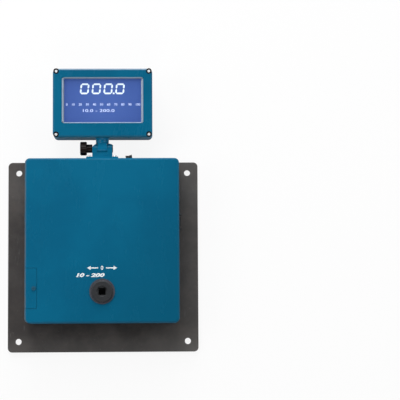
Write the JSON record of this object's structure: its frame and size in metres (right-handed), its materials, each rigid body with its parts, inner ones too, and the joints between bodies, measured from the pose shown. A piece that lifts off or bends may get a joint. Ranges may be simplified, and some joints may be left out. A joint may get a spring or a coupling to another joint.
{
  "type": "torque tester",
  "caption": "Bench torque tester: square drive in a low blue cover on a drilled mounting plate, with a tilting screen head on a friction hinge",
  "frame": {"origin": "centre of the four mounting holes on the plate's back face", "axes": "+X to the right, +Y towards the display, +Z out of the face, with the tester lying on its back"},
  "size_m": [0.343, 0.5035, 0.0922],
  "materials": {
    "cover_paint": "gloss blue paint on sheet steel",
    "casting_paint": "gloss blue paint on die-cast aluminium",
    "plate_steel": "dark phosphated steel, mottled and scuffed",
    "black_oxide": "black oxide",
    "bright_steel": "machined, bright",
    "zinc_screws": "bright zinc plate",
    "brass_parts": "turned",
    "knob_plastic": "black moulded, glossy",
    "black_plastic": "black moulded",
    "black_rubber": "soft black rubber",
    "grey_sleeve": "turned",
    "gauge_foil": "foil gauges under clear lacquer",
    "cell_can": "printed-free battery can",
    "circuit_green": "green solder mask",
    "chip_black": "moulded parts on the board",
    "window_clear": "clear",
    "screen_blue": "blue liquid-crystal screen",
    "light_guide": "white light guide",
    "red_lead": "red insulated leads"
  },
  "bodies": {
    "tester": {"base_plate": "plate_steel", "housing_cover": "cover_paint", "cover_screws": "zinc_screws", "cover_nuts": "zinc_screws", "door_frame": "cover_paint", "door_receptacle": "bright_steel", "battery_tray": "black_plastic", "tray_screws": "zinc_screws", "battery_cells": "cell_can", "battery_contacts": "bright_steel", "transducer_body": "bright_steel", "transducer_screws": "black_oxide", "strain_gauges": "gauge_foil", "gauge_sleeve": "grey_sleeve", "drive_head": "black_oxide", "drive_pin": "bright_steel", "drive_seal": "black_rubber", "hinge_base": "casting_paint", "hinge_base_screws": "zinc_screws", "hinge_backing_plate": "bright_steel", "pivot_bolt": "black_oxide", "friction_washers": "brass_parts", "switch_body": "black_plastic", "data_port": "bright_steel", "port_jackscrews": "bright_steel", "charge_jack": "black_plastic", "jack_nut": "bright_steel", "main_board": "circuit_green", "board_components": "chip_black", "board_pillars": "brass_parts", "board_screws": "zinc_screws", "transducer_lead": "black_rubber", "power_leads": "red_lead", "signal_lead": "black_rubber"},
    "display": {"display_arm": "casting_paint", "arm_nut": "bright_steel", "display_housing": "casting_paint", "display_lid": "casting_paint", "lid_gasket": "black_rubber", "lid_screws": "zinc_screws", "display_window": "window_clear", "lcd_frame": "bright_steel", "lcd_panel": "screen_blue", "lcd_backlight": "light_guide", "display_board": "circuit_green", "display_pillars": "brass_parts", "display_board_screws": "zinc_screws", "display_lead": "black_rubber"},
    "knob": {"clamp_knob": "knob_plastic", "knob_insert": "brass_parts"},
    "rocker": {"power_rocker": "black_plastic"},
    "door": {"battery_door": "cover_paint"},
    "door_fastener": {"door_screw": "zinc_screws"}
  },
  "joints": [
    {"name": "display_tilt", "type": "hinge", "parent": "tester", "child": "display", "pos_m": [0, 0.191, 0.06], "axis": [1, 0, 0], "range_deg": [-10, 70]},
    {"name": "clamp_knob_turn", "type": "hinge", "parent": "tester", "child": "knob", "pos_m": [0, 0.191, 0.06], "axis": [-1, 0, 0], "range_deg": [0, 180]},
    {"name": "power_rocker_press", "type": "hinge", "parent": "tester", "child": "rocker", "pos_m": [0.048, 0.17145, 0.0617], "axis": [0, 0, -1], "range_deg": [0, 20]},
    {"name": "battery_door_lift", "type": "slide", "parent": "tester", "child": "door", "axis": [0, 0, 1], "range_m": [0, 0.1]},
    {"name": "door_screw_turn", "type": "hinge", "parent": "door", "child": "door_fastener", "pos_m": [-0.1202, -0.05895, 0.0857], "axis": [0, 0, 1], "range_deg": [0, 90]}
  ]
}
